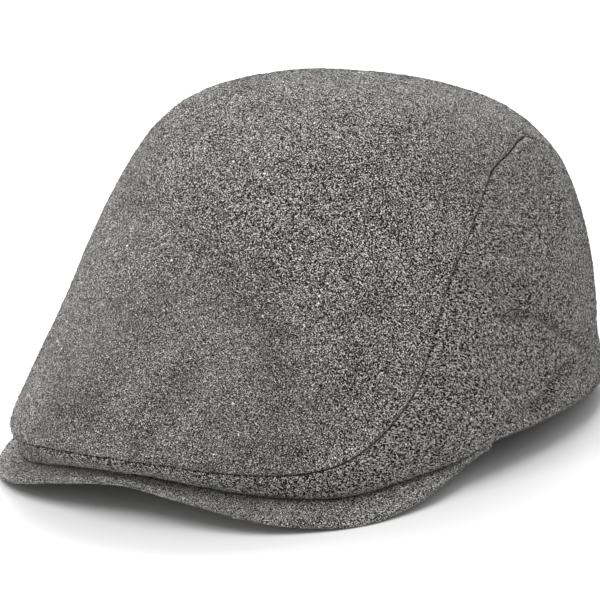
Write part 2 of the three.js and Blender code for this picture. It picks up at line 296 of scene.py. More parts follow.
def foldRelief(points):  # how far the folds sink, with the cloth a little raised beside them
    relief = np.zeros(len(points))
    for fold in folds:
        count = len(fold["places"])
        table = [list(enumerate(column)) for column in zip(*fold["places"])]
        share = np.linspace(0, count - 1, foldShape["steps"] * count)
        distance, place = nearLine(points, onCrown(along(table[0], share), along(table[1], share)))
        fromEnd = np.minimum(place, place.max() - place)
        ends = np.clip(fromEnd / (foldShape["ease"] * fold["half"]), 0, 1)
        across = distance / fold["half"]
        beside = np.exp(-((across - foldShape["liftAt"]) / foldShape["liftSpan"]) ** 2)
        profile = np.exp(-across ** 2) - foldShape["lift"] * beside
        relief -= fold["depth"] * profile * ends * ends * (3 - 2 * ends)
    return relief


def clothRelief(points, seams):  # how far the cloth's outer face lies over its plain form
    relief = cloth["swellDepth"] * noiseAt(points, cloth["swellLength"], noiseSeeds["swell"])
    ripple = cloth["rippleDepth"] * noiseAt(points, cloth["rippleLength"], noiseSeeds["ripple"])
    relief += ripple + foldRelief(points)
    for number, line in enumerate(seams):
        distance, place = nearLine(points, line)
        spot = np.stack([place, 0 * place, np.full(len(place), number * cloth["seamApart"])], -1)
        fade = np.exp(-(distance / cloth["puckerReach"]) ** cloth["puckerFade"])
        pucker = noiseAt(spot, cloth["puckerLength"], noiseSeeds["pucker"] + number)
        relief += cloth["puckerDepth"] * fade * pucker
        relief += cloth["allowanceRise"] * np.exp(-((distance / cloth["allowance"]) - 1) ** 2 * 2)
        pinch = cloth["pinchGain"] * noiseAt(spot, cloth["pinchLength"], noiseSeeds["pinch"] + number)
        drawn = 1 + cloth["pinch"] * np.clip(pinch, -1, 1)
        relief -= rollDown(distance, cloth["seamRoll"] * drawn)
    return relief


class Shell:  # points and faces of one closed piece of cloth
    def __init__(self):
        self.points, self.weave, self.nap, self.faces = [], [], [], []

    def row(self, points, weave, nap):  # nap is 1 on the side that shows
        first = len(self.points)
        self.points += points.tolist()
        self.weave += weave.tolist()
        self.nap += np.broadcast_to(nap, len(points)).tolist()
        return np.arange(first, len(self.points))

    def bridge(self, a, b, closed=False):  # faces between two rows, or where b has half as many
        if closed:
            a, b = np.append(a, a[0]), np.append(b, b[0])
        if len(a) == len(b):
            self.faces += np.stack([a[:-1], a[1:], b[1:], b[:-1]], -1).tolist()
            return
        left, middle, right = a[:-1:2], a[1::2], a[2::2]
        for face in ((left, middle, b[:-1]), (middle, b[1:], b[:-1]), (middle, right, b[1:])):
            self.faces += np.stack(face, -1).tolist()

    def grid(self, points, weave, nap):  # rows that go up the cloth, each bridged to the next
        nap = np.broadcast_to(nap, points.shape[:2])
        rows = [self.row(*row) for row in zip(points, weave, nap)]
        for below, above in zip(rows, rows[1:]):
            self.bridge(below, above)
        return np.array(rows)

    def fan(self, ring, tip):
        self.faces += [(int(a), int(b), int(tip)) for a, b in zip(ring, np.roll(ring, -1))]

    def build(self, name):
        mesh = bpy.data.meshes.new(name)
        mesh.from_pydata((np.array(self.points) + toFrame).tolist(), [], self.faces)
        weave = mesh.uv_layers.new(name="weave")
        corners = np.zeros(len(mesh.loops), int)
        mesh.loops.foreach_get("vertex_index", corners)
        weave.data.foreach_set("uv", np.array(self.weave)[corners].ravel())
        height = np.array(self.points)[:, 2]
        worn = np.linalg.norm(np.array(self.points) - cloth["wornAndPaintedLightAt"], axis=-1)
        worn = np.clip((worn - cloth["wornAndPaintedLightFrom"]) / (cloth["wornAndPaintedLightTo"] - cloth["wornAndPaintedLightFrom"]), 0, 1)
        rough = cloth["wornNap"] + (1 - cloth["wornNap"]) * worn
        nap = mesh.attributes.new("nap", "FLOAT", "POINT")
        above = np.clip((height - cloth["bareFoot"]) / cloth["bareFootFade"], 0, 1)
        nap.data.foreach_set("value", self.nap * above * rough)
        work = bmesh.new()
        work.from_mesh(mesh)
        bmesh.ops.recalc_face_normals(work, faces=work.faces)
        openEdges = sum(not edge.is_manifold for edge in work.edges)
        volume = round(work.calc_volume() * 1e6, 1)
        print(name, len(work.faces), "faces,", openEdges, "open edges,", volume, "cm3")
        work.to_mesh(mesh)
        work.free()
        mesh.shade_smooth()
        thing = bpy.data.objects.new(name, mesh)
        bpy.context.scene.collection.objects.link(thing)
        return thing


def rowShares(length, rows, ends=2):  # places of the rows up each column, from 0 to 1
    band = np.minimum(cloth["edgeBand"] / np.atleast_1d(length), cloth["edgeMost"])
    close = np.linspace(0, 1, cloth["edgeRows"] + 1)[:, None] ** cloth["edgeCrowd"] * band
    last = 1 - band if ends == 2 else 1 + 0 * band
    middle = np.linspace(band, last, rows + 1 - ends * cloth["edgeRows"])[1:]
    return np.concatenate([close, middle, 1 - close[-2::-1]] if ends == 2 else [close, middle])


def evenUp(placeAt, columns, rows, ends=2):  # v for each row and column, so that rows lie evenly
    v = np.linspace(0, 1, cloth["columnSteps"])
    line = onCrown(*placeAt(np.broadcast_to(v[:, None], (len(v), columns))))
    steps = np.linalg.norm(np.diff(line, axis=0), axis=-1)
    lengths = np.concatenate([np.zeros((1, columns)), np.cumsum(steps, 0)])
    shares = rowShares(lengths[-1], rows, ends) * lengths[-1]
    found = np.stack([np.interp(s, length, v) for s, length in zip(shares.T, lengths.T)], -1)
    return found, shares


def dressed(degrees, level, seams, hems):  # the outer and inner face of a piece of crown cloth
    base, normal = onCrown(degrees, level), crownNormal(degrees, level)
    flat = base.reshape(-1, 3)
    fromSeam = [nearLine(flat, line)[0] for line in seams]
    nap = np.min([(distance - cloth["bareSeam"]) / cloth["bareSeamFade"] for distance in fromSeam], 0)
    nap = np.clip(nap, 0, 1).reshape(degrees.shape)
    outer = base + normal * clothRelief(flat, seams).reshape(degrees.shape)[..., None]
    plan = unit(normal * [1, 1, 0])
    turned = 0
    for line in hems:
        fromHem = nearLine(flat, line)[0].reshape(degrees.shape)[..., None]
        swell = cloth["hemSwell"] * np.exp(-((fromHem - cloth["hemRoll"]) / cloth["hemSwellSpan"]) ** 2)
        outer = outer + plan * (swell - rollDown(fromHem, cloth["hemRoll"]))
        inTurn = (cloth["hemTurn"] - fromHem) / cloth["hemTurnFade"]
        turned = np.maximum(turned, np.clip(inTurn, 0, 1))
    inner = base - normal * (crown["wall"] + cloth["hemTurnRise"] * turned)
    return outer, inner, nap


# The top panel: the dome above the long seams and the strip that it sends down the back
topPanel = {
    "sideColumns": 256,  # along each long seam; with backColumns a multiple of 16
    "backColumns": 64,  # from a side panel to the middle of the back
    "domeRows": 100,
    "stripRows": 72,
    "innerStep": 8,  # every such row of the dome is kept on the inside
    "mostSkip": 32,  # near the top only one column in so many is left
    "seamSteps": 2000,  # points on the seam that its length is measured from
}


def makeTopPanel():
    corner, sideColumns = crown["cornerAngle"], topPanel["sideColumns"]
    fine = np.linspace(0, corner, topPanel["seamSteps"])
    seam = onCrown(fine, seamLevel(fine))
    reach = np.concatenate([[0], np.cumsum(np.linalg.norm(np.diff(seam, axis=0), axis=-1))])
    front = np.interp(np.linspace(0, reach[-1], sideColumns + 1), reach, fine)
    backReach = np.linalg.norm(onCrown(corner, seamLevel(corner)) - onCrown(180, seamLevel(corner)))
    back = corner + (180 - corner) * rowShares(backReach, topPanel["backColumns"], 1)[:, 0]
    half = np.concatenate([front[:-1], back])
    columns = np.concatenate([half, 360 - half[-2:0:-1]])
    folded = np.minimum(fromFront(columns), corner)
    start = seamLevel(folded) + halfGap(folded, seamLevel(folded))[1]
    v, climbed = evenUp(lambda v: (columns + 0 * v, start + (apexLevel - start) * v),
                        len(columns), topPanel["domeRows"], 1)
    degrees, level = columns + 0 * v, start + (apexLevel - start) * v
    behind = np.nonzero(fromFront(columns) > corner - 1e-6)[0]
    share = (columns[behind] - corner) / (180 - corner)

    def onStrip(v):  # v is 0 at the hem and 1 where the strip leaves the dome
        edge = along(backEdge, v)
        edge = edge + halfGap(edge, crown["cornerLevel"] * v)[0]
        angle = edge + (180 - edge) * (1 - np.abs(1 - share))
        return np.where(share <= 1, angle, 360 - angle), crown["cornerLevel"] * v

    v, down = evenUp(onStrip, len(behind), topPanel["stripRows"], 1)
    stripDegrees, stripLevel = onStrip(v)
    stripDegrees[-1], stripLevel[-1] = columns[behind], start[behind]
    seams = [edgeLine(name, side) for name in ("long", "back") for side in (1, -1)]
    dome = dressed(degrees, level, seams, [])
    strip = dressed(stripDegrees, stripLevel, seams, [edgeLine("hem", 1), edgeLine("hem", -1)])
    away = climbed[-1] - climbed
    turn = np.radians(columns)
    weave = np.stack([away * np.sin(turn), -away * np.cos(turn)], -1)
    far = climbed[-1, behind] + down[-1] - down
    stripWeave = np.stack([far * np.sin(turn[behind]), -far * np.cos(turn[behind])], -1)

    shell = Shell()
    rims = []
    for nap, rowStep in ((1, 1), (0, topPanel["innerStep"])):
        grid, shows, skip = dome[1 - nap], dome[2] * nap, 1
        first = ring = shell.row(grid[0], weave[0], shows[0])
        for j in range(rowStep, len(grid) - 1, rowStep):
            if np.mean(away[j]) * 2 * skip < np.mean(away[0]) and skip < topPanel["mostSkip"]:
                skip *= 2
            fresh = shell.row(grid[j, ::skip], weave[j, ::skip], shows[j, ::skip])
            shell.bridge(ring, fresh, closed=True)
            ring = fresh
        shell.fan(ring, shell.row(grid[-1, :1], weave[-1, :1], nap)[0])
        lower = shell.grid(strip[1 - nap][:-1], stripWeave[:-1], strip[2][:-1] * nap)
        shell.bridge(lower[-1], first[behind])
        before, after = first[:behind[0] + 1], first[behind[-1]:]
        rims.append(np.concatenate([after, before, lower[::-1, 0], lower[0, 1:], lower[1:, -1]]))
    shell.bridge(*rims, closed=True)
    return shell.build("topPanel")


# A side panel, from the short seam in front round to the strip at the back
sidePanel = {
    "columns": 244,
    "rows": 96,
    "lineSteps": 1500,  # points on its middle line that its length is measured from
}


def makeSidePanel(name, side):
    def onSide(t, v):
        top = crown["cornerAngle"] * t
        level = (seamLevel(top) - halfGap(top, seamLevel(top))[1]) * v
        edge = along(backEdge, v)
        return np.clip(edge * t, halfGap(0 * level, level)[0], edge - halfGap(edge, level)[0]), level

    fine = np.linspace(0, 1, sidePanel["lineSteps"])
    line = onCrown(*onSide(fine, 0.5 + 0 * fine))
    reach = np.concatenate([[0], np.cumsum(np.linalg.norm(np.diff(line, axis=0), axis=-1))])
    t = np.interp(rowShares(reach[-1], sidePanel["columns"])[:, 0] * reach[-1], reach, fine)
    v, climbed = evenUp(lambda v: onSide(t + 0 * v, v), len(t), sidePanel["rows"])
    degrees, level = onSide(t + 0 * v, v)
    seams = [edgeLine(edge, side) for edge in ("long", "back", "front")]
    outer, inner, shows = dressed(side * degrees, level, seams, [edgeLine("hem", side)])
    across = np.interp(t, fine, reach) + 0 * climbed
    weave = np.stack([side * across, climbed], -1)
    shell = Shell()
    rims = []
    for points, nap in ((outer, shows), (inner, 0)):
        at = shell.grid(points, weave, nap)
        rims.append(np.concatenate([at[0], at[1:, -1], at[-1, -2::-1], at[-2:0:-1, 0]]))
    shell.bridge(*rims, closed=True)
    return shell.build(name)


# The peak: a stiff board covered in the same cloth, two plies that meet along its outer edge
peak = {
    "reveal": 11 * mm,  # how far it shows past the hem at most
    "thickness": 3.2 * mm,
    "slope": 22,  # degrees
    "bend": 1 * mm,  # how softly the slope begins under the hem
    "gap": 0.3 * mm,  # from the hem down to it
    "hemCover": 0.6 * mm,  # where less of it shows than this, its hidden part starts further in
    "underHem": 3.2 * mm,  # how far that part starts from the hem's edge
    "browReach": 78 * mm,  # from the head's centre line to the inner edge
    "browRise": 12 * mm,
    "tipAngle": 76,
    "tipInset": 8 * mm,
    "noseReach": 1.1 * mm,  # how far the rounded edge stands out
    "noseRound": 0.8,  # below 1 the edge is blunter than an ellipse
    "plySeam": 0.4 * mm,  # depth of the groove between the plies
    "plySeamHalf": 0.35 * mm,
    "plySeamDrop": 0.35,  # how far it lies below the middle, as a share of half the thickness
    "napStart": 1.5,  # how far under the hem the loose fibres begin, in millimetres
    "columns": 320,
    "browRows": 12,
    "topRows": 22,
    "noseRows": 18,
}
revealLine = [(0, 0.22), (12, 0.44), (25, 0.84), (38, 1), (50, 0.69), (58, 0.27), (66, -0.12),
              (76, -0.3)]  # degrees from the front, and share of the reveal


def besideHem(degrees, distance):  # a point in plan past the hem
    hem = crownSections[0]
    edge = onSection(hem, degrees + 1) - onSection(hem, degrees - 1)
    out = unit(np.stack([edge[..., 1], -edge[..., 0], 0 * edge[..., 0]], -1))
    place = onSection(hem, degrees)
    place[..., 2] = 0
    return place + out * np.asarray(distance)[..., None]


def peakTop(degrees, reveal, level):  # rows from the brow to the outer edge, and where they show
    swing = np.radians(90 * degrees / peak["tipAngle"])
    tip = besideHem(np.array(float(peak["tipAngle"])), -peak["tipInset"])
    forward = tip[1] + (-peak["browReach"] - tip[1]) * np.cos(swing)
    brow = np.stack([tip[0] * np.sin(swing), forward, 0 * swing], -1)
    browLevel = level + peak["browRise"] * np.cos(swing)
    under = np.minimum(reveal - peak["hemCover"], 0) - peak["underHem"]
    fall, bend = np.tan(np.radians(peak["slope"])), peak["bend"]
    rows, shows = [], []
    for share in np.linspace(0, 1, peak["browRows"] + 1)[:-1]:
        place = brow * (1 - share) + besideHem(degrees, under) * share
        place[:, 2] = browLevel * (1 - share) + level * share
        rows.append(place)
        shows.append(0 * degrees)
    for share in np.linspace(0, 1, peak["topRows"] + 1):
        distance = under + (reveal - under) * share
        place = besideHem(degrees, distance)
        place[:, 2] = level - fall * (distance + np.sqrt(distance ** 2 + bend ** 2) - bend) / 2
        rows.append(place)
        shows.append(np.clip(peak["napStart"] + distance / mm, 0, 1))
    return np.array(rows), shows


def peakNose(degrees, reveal, edge):  # rows round the outer edge, with the groove between the plies
    half = peak["thickness"] / 2
    rows = []
    for turn in np.linspace(0, np.pi, peak["noseRows"] + 1)[1:-1]:
        height = half * np.cos(turn)
        fromGroove = (height + half * peak["plySeamDrop"]) / peak["plySeamHalf"]
        groove = peak["plySeam"] * np.exp(-fromGroove ** 2)
        stand = peak["noseReach"] * np.sin(turn) ** peak["noseRound"]
        place = besideHem(degrees, reveal + stand - groove)
        place[:, 2] = edge - half + height
        rows.append(place)
    return rows


def makePeak():
    degrees = np.linspace(-peak["tipAngle"], peak["tipAngle"], peak["columns"] + 1)
    reveal = peak["reveal"] * along(revealLine, fromFront(degrees))
    top, shows = peakTop(degrees, reveal, hemHeight(degrees) - peak["gap"])
    bottom = top[::-1] - [0, 0, peak["thickness"]]
    rows = np.concatenate([top, peakNose(degrees, reveal, top[-1][:, 2]), bottom])
    ripple = noiseAt(rows.reshape(-1, 3), cloth["rippleLength"], noiseSeeds["peak"])
    rows[..., 2] += ripple.reshape(rows.shape[:2]) * cloth["rippleDepth"]
    steps = np.linalg.norm(np.diff(rows, axis=0), axis=-1)
    out = np.concatenate([np.zeros((1, len(degrees))), np.cumsum(steps, 0)])
    across = np.cumsum(np.append(0, np.linalg.norm(np.diff(top[-1], axis=0), axis=-1)))
    weave = np.stack([across + 0 * out, -out], -1)
    shell = Shell()
    nap = np.ones(rows.shape[:2])
    nap[:len(shows)] = shows
    at = shell.grid(rows, weave, nap)
    shell.bridge(at[-1], at[0])
    for end in (at[:, 0], at[:, -1]):  # each tip is closed between its upper and its lower line
        count = len(end) // 2
        shell.bridge(end[:count], end[:-count - 1:-1])
        if len(end) % 2:
            shell.faces.append((int(end[count - 1]), int(end[count]), int(end[count + 1])))
    return shell.build("peakBoard")


# Finishes. A layer is how many bumps to the millimetre, detail, roughness and how strongly it shows.
wool = {
    "tone": 0.35,  # how light the cloth looks, from 0 to 1 as the eye sees it
    "tint": (0.603, 0.592, 0.571),
    "layers": [(2.6, 0.0, 0.5, 3.4), (0.42, 2.0, 0.5, 0.14)],
    "slowLayer": (0.06, 2.0, 0.5, 0.3),
    "drift": (0.6, 1.0),  # bumps to the millimetre and detail of what bends the layers
    "driftReach": (1.2, 1.2, 1.2),  # millimetres
    "fibreStretch": (1.3, 2.9, 2.9),  # bumps to the millimetre along and across the felted fibres
    "fibreShare": 1.2,  # how strongly they show
    # how each set of felted fibres lies, where its pattern starts, and whether it is light or dark
    "fibreSets": [((0.3, 0.2, 0.9), (0, 5, 0), 1), ((1.2, 0.5, -0.6), (11, 5, -7), -1),
                  ((-0.8, 0.9, 1.7), (22, 5, -14), 1)],
    "wornShare": 0.4,  # share of the contrast that the smoother front keeps
    # The front's lighter tone keeps the grain's mean where its contrast is lower, and is partly a painted
    # pool of light
    "wornToneAndPaintedLight": 0.155,  # how much lighter it looks
    "diagonal": 0.785,  # the weave's turn, in radians
    "twillPitch": 1.1,  # sets how far apart the diagonal ribs lie, in millimetres
    "twillShare": 0.07,
    "twillWave": {"Scale": 0.32, "Distortion": 2.0, "Detail": 1.0, "Detail Scale": 0.6},
    "darkest": 0.16,  # the value stays between these two
    "lightest": 1.12,
    "eyePower": 2.6,  # from what the eye sees to the share of light that comes back
    "spots": 0.33,  # brownish spots to the millimetre, and where in their noise they begin
    "spotFrom": 0.78,
    "spotTo": 0.82,
    "brown": (1.1, 1.0, 0.9, 1),
    "clumps": 0.5,  # soft lumps to the millimetre
    "bump": {"Strength": 0.5, "Distance": 0.14 * mm},
    "shader": {"Roughness": 0.95, "Specular IOR Level": 0.15, "Sheen Weight": 0.2, "Sheen Roughness": 0.35},
}
# Each panel's own wool: shade and tone of its colour, contrast of its grain, how fine that is from
# front to back against the other ways, and the dashes to the metre, along and across the diagonal.
# The side panels' lower shade and tone are painted shade, and the peak's higher ones painted light.
finishes = {
    "topWool": {"shade": 1.0, "tone": 1.0, "contrast": 1.03, "lengthwise": 0.8,
                "dashes": (1300, 2800), "dashShare": 1.1},
    "sideWoolPaintedShade": {"shade": 0.69, "tone": 0.76, "contrast": 2.1, "lengthwise": 0.62,
                 "dashes": (650, 1600), "dashShare": 2.2},
    "peakWoolPaintedLight": {"shade": 1.06, "tone": 1.24, "contrast": 0.9, "lengthwise": 1.0,
                 "dashes": (1300, 2700), "dashShare": 1.1},
}
fibreTones = [(0.0, (0.008, 0.008, 0.008, 1)), (0.42, (0.025, 0.024, 0.023, 1)),
              (0.55, (0.17, 0.167, 0.16, 1)), (0.85, (0.42, 0.413, 0.4, 1)), (1.0, (0.78, 0.77, 0.75, 1))]
fibreShader = {"Roughness": 0.8, "Specular IOR Level": 0.2}
nepShader = {"Base Color": (0.85, 0.84, 0.82, 1), "Roughness": 0.9}


def addNode(tree, kind, values=None, **settings):  # a node with its inputs set or linked
    node = tree.nodes.new(kind)
    for name, value in settings.items():
        setattr(node, name, value)
    for key, value in (values or {}).items():
        if isinstance(value, bpy.types.NodeSocket):
            tree.links.new(value, node.inputs[key])
        else:
            node.inputs[key].default_value = value
    return node


def math(tree, operation, *values):
    return addNode(tree, "ShaderNodeMath", dict(enumerate(values)), operation=operation).outputs[0]


def startMaterial(name, values):
    material = bpy.data.materials.new(name)
    material.use_nodes = True
    shader = material.node_tree.nodes["Principled BSDF"]
    for key, value in values.items():
        shader.inputs[key].default_value = value
    return material, material.node_tree, shader


def ramp(tree, factor, stops):
    node = addNode(tree, "ShaderNodeValToRGB", {"Fac": factor})
    elements = node.color_ramp.elements
    while len(elements) < len(stops):
        elements.new(0.5)
    for element, (place, color) in zip(elements, stops):
        element.position = place
        element.color = color
    return node.outputs["Color"]


def noiseNode(tree, vector, scale, detail=2.0, roughness=0.5):
    values = {"Vector": vector, "Scale": scale, "Detail": detail, "Roughness": roughness}
    return addNode(tree, "ShaderNodeTexNoise", values)


def addLayer(tree, below, noiseValue, strength):
    return math(tree, "MULTIPLY_ADD", math(tree, "SUBTRACT", noiseValue, 0.5), strength, below)


def addNoise(tree, below, vector, scale, detail, roughness, strength):
    noiseValue = noiseNode(tree, vector, scale, detail, roughness).outputs["Fac"]
    return addLayer(tree, below, noiseValue, strength)


def mapped(tree, vector, values):  # the vector turned, moved or scaled
    return addNode(tree, "ShaderNodeMapping", {"Vector": vector} | values).outputs[0]


def woolGrain(tree, bent, own):  # the felted fibres, the weave's dashes and its ribs, about 0
    value = 0.0
    for layer in wool["layers"]:
        value = addNoise(tree, value, bent, *layer)
    for turn, start, sign in wool["fibreSets"]:
        lying = mapped(tree, bent, {"Rotation": turn, "Location": start, "Scale": wool["fibreStretch"]})
        value = addNoise(tree, value, lying, 1.0, 0.0, 0.5, wool["fibreShare"] * sign)
    weave = addNode(tree, "ShaderNodeUVMap", uv_map="weave").outputs["UV"]
    diagonal = mapped(tree, weave, {"Rotation": (0, 0, wool["diagonal"])})
    dash = mapped(tree, diagonal, {"Scale": (*own["dashes"], 0)})
    value = addNoise(tree, value, dash, 1.0, 0.0, 0.5, own["dashShare"])
    rib = mapped(tree, diagonal, {"Scale": (1000 / wool["twillPitch"],) * 3})
    twill = addNode(tree, "ShaderNodeTexWave", {"Vector": rib} | wool["twillWave"]).outputs["Fac"]
    return addLayer(tree, value, twill, wool["twillShare"])


# The front that this marks is smoother and also carries a painted pool of light
def pastWornAndPaintedLight(tree, away, worn, rough):  # one value in the smoother front, another beyond it
    values = {"Value": away, "From Min": cloth["wornAndPaintedLightFrom"] / mm, "From Max": cloth["wornAndPaintedLightTo"] / mm,
              "To Min": worn, "To Max": rough}
    return addNode(tree, "ShaderNodeMapRange", values, interpolation_type="SMOOTHSTEP").outputs["Result"]


def vectorMath(tree, operation, output, *values):
    node = addNode(tree, "ShaderNodeVectorMath", dict(enumerate(values)), operation=operation)
    return node.outputs[output]


def makeWool(name):
    own = finishes[name]
    material, tree, shader = startMaterial(name, wool["shader"])
    place = addNode(tree, "ShaderNodeTexCoord").outputs["Object"]
    place = mapped(tree, place, {"Scale": (1000, 1000, 1000)})  # in millimetres
    grain = mapped(tree, place, {"Scale": (1, own["lengthwise"], 1)})
    drift = noiseNode(tree, place, *wool["drift"]).outputs["Color"]
    bent = vectorMath(tree, "MULTIPLY_ADD", "Vector", drift, wool["driftReach"], grain)
    centre = [(a + b) / mm for a, b in zip(cloth["wornAndPaintedLightAt"], toFrame)]
    away = vectorMath(tree, "DISTANCE", "Value", place, centre)
    contrast = pastWornAndPaintedLight(tree, away, own["contrast"] * wool["wornShare"], own["contrast"])
    # The side panels' lower tone is painted shade, the peak's higher tone painted light
    tone = wool["tone"] * own["tone"]
    # Lighter in the smoother front: partly to keep the grain's mean, partly a painted pool of light
    base = pastWornAndPaintedLight(tree, away, tone + wool["wornToneAndPaintedLight"], tone)
    value = math(tree, "MULTIPLY_ADD", woolGrain(tree, bent, own), contrast, base)
    value = addNoise(tree, value, bent, *wool["slowLayer"])
    light = math(tree, "MINIMUM", math(tree, "MAXIMUM", value, wool["darkest"]), wool["lightest"])
    light = math(tree, "POWER", light, wool["eyePower"])
    # Darker on the side panels as painted shade, lighter on the peak as painted light
    tint = [own["shade"] * share for share in wool["tint"]]
    color = vectorMath(tree, "MULTIPLY", "Vector", light, tint)
    stops = [(wool["spotFrom"], (1, 1, 1, 1)), (wool["spotTo"], wool["brown"])]
    spots = ramp(tree, noiseNode(tree, place, wool["spots"], 0.0).outputs["Fac"], stops)
    tree.links.new(vectorMath(tree, "MULTIPLY", "Vector", color, spots), shader.inputs["Base Color"])
    clumps = noiseNode(tree, place, wool["clumps"], 1.0).outputs["Fac"]
    bump = addNode(tree, "ShaderNodeBump", {"Height": math(tree, "ADD", clumps, value)} | wool["bump"])
    tree.links.new(bump.outputs[0], shader.inputs["Normal"])
    return material


def makeFibreFinish(name):
    material, tree, shader = startMaterial(name, fibreShader)
    tone = addNode(tree, "ShaderNodeAttribute", attribute_name="tone").outputs["Fac"]
    tree.links.new(ramp(tree, tone, fibreTones), shader.inputs["Base Color"])
    return material


# Loose fibres that stand out of the felted cloth, short tufts of its face and white neps caught in
# it. Density is to the square metre.
lyingFibre = {"Density": 36000, "Length": 2.4 * mm, "Width": 0.06 * mm, "Rise": 0.5 * mm,
              "Tip": 0.02 * mm, "Curl": 0.9 * mm, "Tilt": 0.12, "Seed": 4, "Segments": 3}
standingFibre = {"Density": 36000, "Length": 0.9 * mm, "Width": 0.03 * mm, "Rise": 0.6 * mm,
                 "Tip": 0.7 * mm, "Curl": 0.3 * mm, "Tilt": 0.7, "Seed": 9, "Segments": 2}
tuft = {"Density": 800000, "Length": 1.1 * mm, "Girth": 0.2 * mm, "Tilt": 0.35, "Seed": 6}
tuftDensity = {"sidePanelLeft": 1300000, "sidePanelRight": 1200000, "peakBoard": 900000}
nep = {"Density": 3000, "Size": 0.54 * mm, "Roughness": 0.7 * mm, "Tilt": 0.3, "Seed": 3}
nepBumps = {"Scale": 2600.0, "Detail": 1.0}
rootDepth = 0.05 * mm  # how far under the cloth's face a fibre begins
quarterTurn, fullTurn = 1.5708, 6.2832
# The smallest and the largest copy, as shares of the length, the width and the height
spreads = {
    "fibre": ((0.5, 0.3, 0.4), (1.3, 1.4, 1.5)),
    "tuft": ((0.4, 0.6, 0.6), (1.3, 1.5, 1.3)),
    "nep": ((0.45, 0.3, 0.2), (1.3, 0.9, 0.5)),
}
randomSeeds = {"turn": 21, "scale": 22, "tone": 23}


def socketNamed(sockets, name):
    return next(socket for socket in sockets if socket.name == name and socket.enabled)


def startTree(name, inputs):
    tree = bpy.data.node_groups.new(name, "GeometryNodeTree")
    tree.interface.new_socket("Geometry", in_out="INPUT", socket_type="NodeSocketGeometry")
    for key in inputs:
        kind = "NodeSocketInt" if key in ("Seed", "Segments") else "NodeSocketFloat"
        tree.interface.new_socket(key, in_out="INPUT", socket_type=kind)
    tree.interface.new_socket("Geometry", in_out="OUTPUT", socket_type="NodeSocketGeometry")
    start, end = tree.nodes.new("NodeGroupInput"), tree.nodes.new("NodeGroupOutput")
    return tree, start.outputs, end.inputs["Geometry"]


def randomValue(tree, seed, kind, low, high):
    first = {"FLOAT_VECTOR": 0, "FLOAT": 2}[kind]
    values = {first: low, first + 1: high, "Seed": seed}
    node = addNode(tree, "FunctionNodeRandomValue", values, data_type=kind)
    return node.outputs[0 if kind == "FLOAT_VECTOR" else 1]


def scatterInto(tree, sockets, shape, spread, material, end):  # copies of the shape over the piece
    tilt = sockets["Tilt"]
    nap = addNode(tree, "GeometryNodeInputNamedAttribute", {"Name": "nap"}, data_type="FLOAT")
    density = math(tree, "MULTIPLY", sockets["Density"], nap.outputs["Attribute"])
    points = addNode(tree, "GeometryNodeDistributePointsOnFaces",
                     {"Mesh": sockets["Geometry"], "Density": density, "Seed": sockets["Seed"]})
    lean = math(tree, "MULTIPLY", tilt, -1.0)
    low = addNode(tree, "ShaderNodeCombineXYZ", {"X": lean, "Y": lean, "Z": 0.0}).outputs[0]
    high = addNode(tree, "ShaderNodeCombineXYZ", {"X": tilt, "Y": tilt, "Z": fullTurn}).outputs[0]
    spin = randomValue(tree, randomSeeds["turn"], "FLOAT_VECTOR", low, high)
    spin = addNode(tree, "FunctionNodeEulerToRotation", {"Euler": spin}).outputs[0]
    turned = addNode(tree, "FunctionNodeRotateRotation", {"Rotation": points.outputs["Rotation"],
                     "Rotate By": spin}, rotation_space="LOCAL").outputs[0]
    scale = randomValue(tree, randomSeeds["scale"], "FLOAT_VECTOR", *spreads[spread])
    copies = addNode(tree, "GeometryNodeInstanceOnPoints", {"Points": points.outputs["Points"],
                     "Instance": shape, "Rotation": turned, "Scale": scale}).outputs[0]
    store = addNode(tree, "GeometryNodeStoreNamedAttribute", {"Geometry": copies, "Name": "tone"},
                    data_type="FLOAT", domain="INSTANCE")
    tone = randomValue(tree, randomSeeds["tone"], "FLOAT", 0.0, 1.0)
    tree.links.new(tone, socketNamed(store.inputs, "Value"))
    whole = addNode(tree, "GeometryNodeRealizeInstances", {"Geometry": store.outputs[0]}).outputs[0]
    done = addNode(tree, "GeometryNodeSetMaterial", {"Geometry": whole, "Material": material}).outputs[0]
    tree.links.new(done, end)


def fibreTree(material):
    tree, sockets, end = startTree("scatterFibres", lyingFibre)
    half = math(tree, "MULTIPLY", sockets["Length"], 0.5)
    middle = addNode(tree, "ShaderNodeCombineXYZ", {"X": half, "Z": sockets["Rise"]}).outputs[0]
    tip = addNode(tree, "ShaderNodeCombineXYZ", {"X": sockets["Length"], "Y": sockets["Curl"],
                  "Z": sockets["Tip"]}).outputs[0]
    line = addNode(tree, "GeometryNodeCurveQuadraticBezier", {"Resolution": sockets["Segments"],
                   "Start": (0, 0, -rootDepth), "Middle": middle, "End": tip}).outputs[0]
    ring = addNode(tree, "GeometryNodeCurvePrimitiveCircle", {"Resolution": 3, "Radius": sockets["Width"]})
    shape = addNode(tree, "GeometryNodeCurveToMesh", {"Curve": line, "Profile Curve": ring.outputs[0],
                    "Fill Caps": True}).outputs[0]
    scatterInto(tree, sockets, shape, "fibre", material, end)
    return tree


def tuftTree(material):  # short tufts of the felted face, each a slim spike of four faces
    tree, sockets, end = startTree("scatterTufts", tuft)
    spike = addNode(tree, "GeometryNodeMeshCone", {"Vertices": 3, "Radius Top": 0.0,
                    "Radius Bottom": sockets["Girth"], "Depth": sockets["Length"]}).outputs[0]
    turned = {"Geometry": spike, "Rotation": (0, quarterTurn, 0)}
    shape = addNode(tree, "GeometryNodeTransform", turned).outputs[0]
    scatterInto(tree, sockets, shape, "tuft", material, end)
    return tree


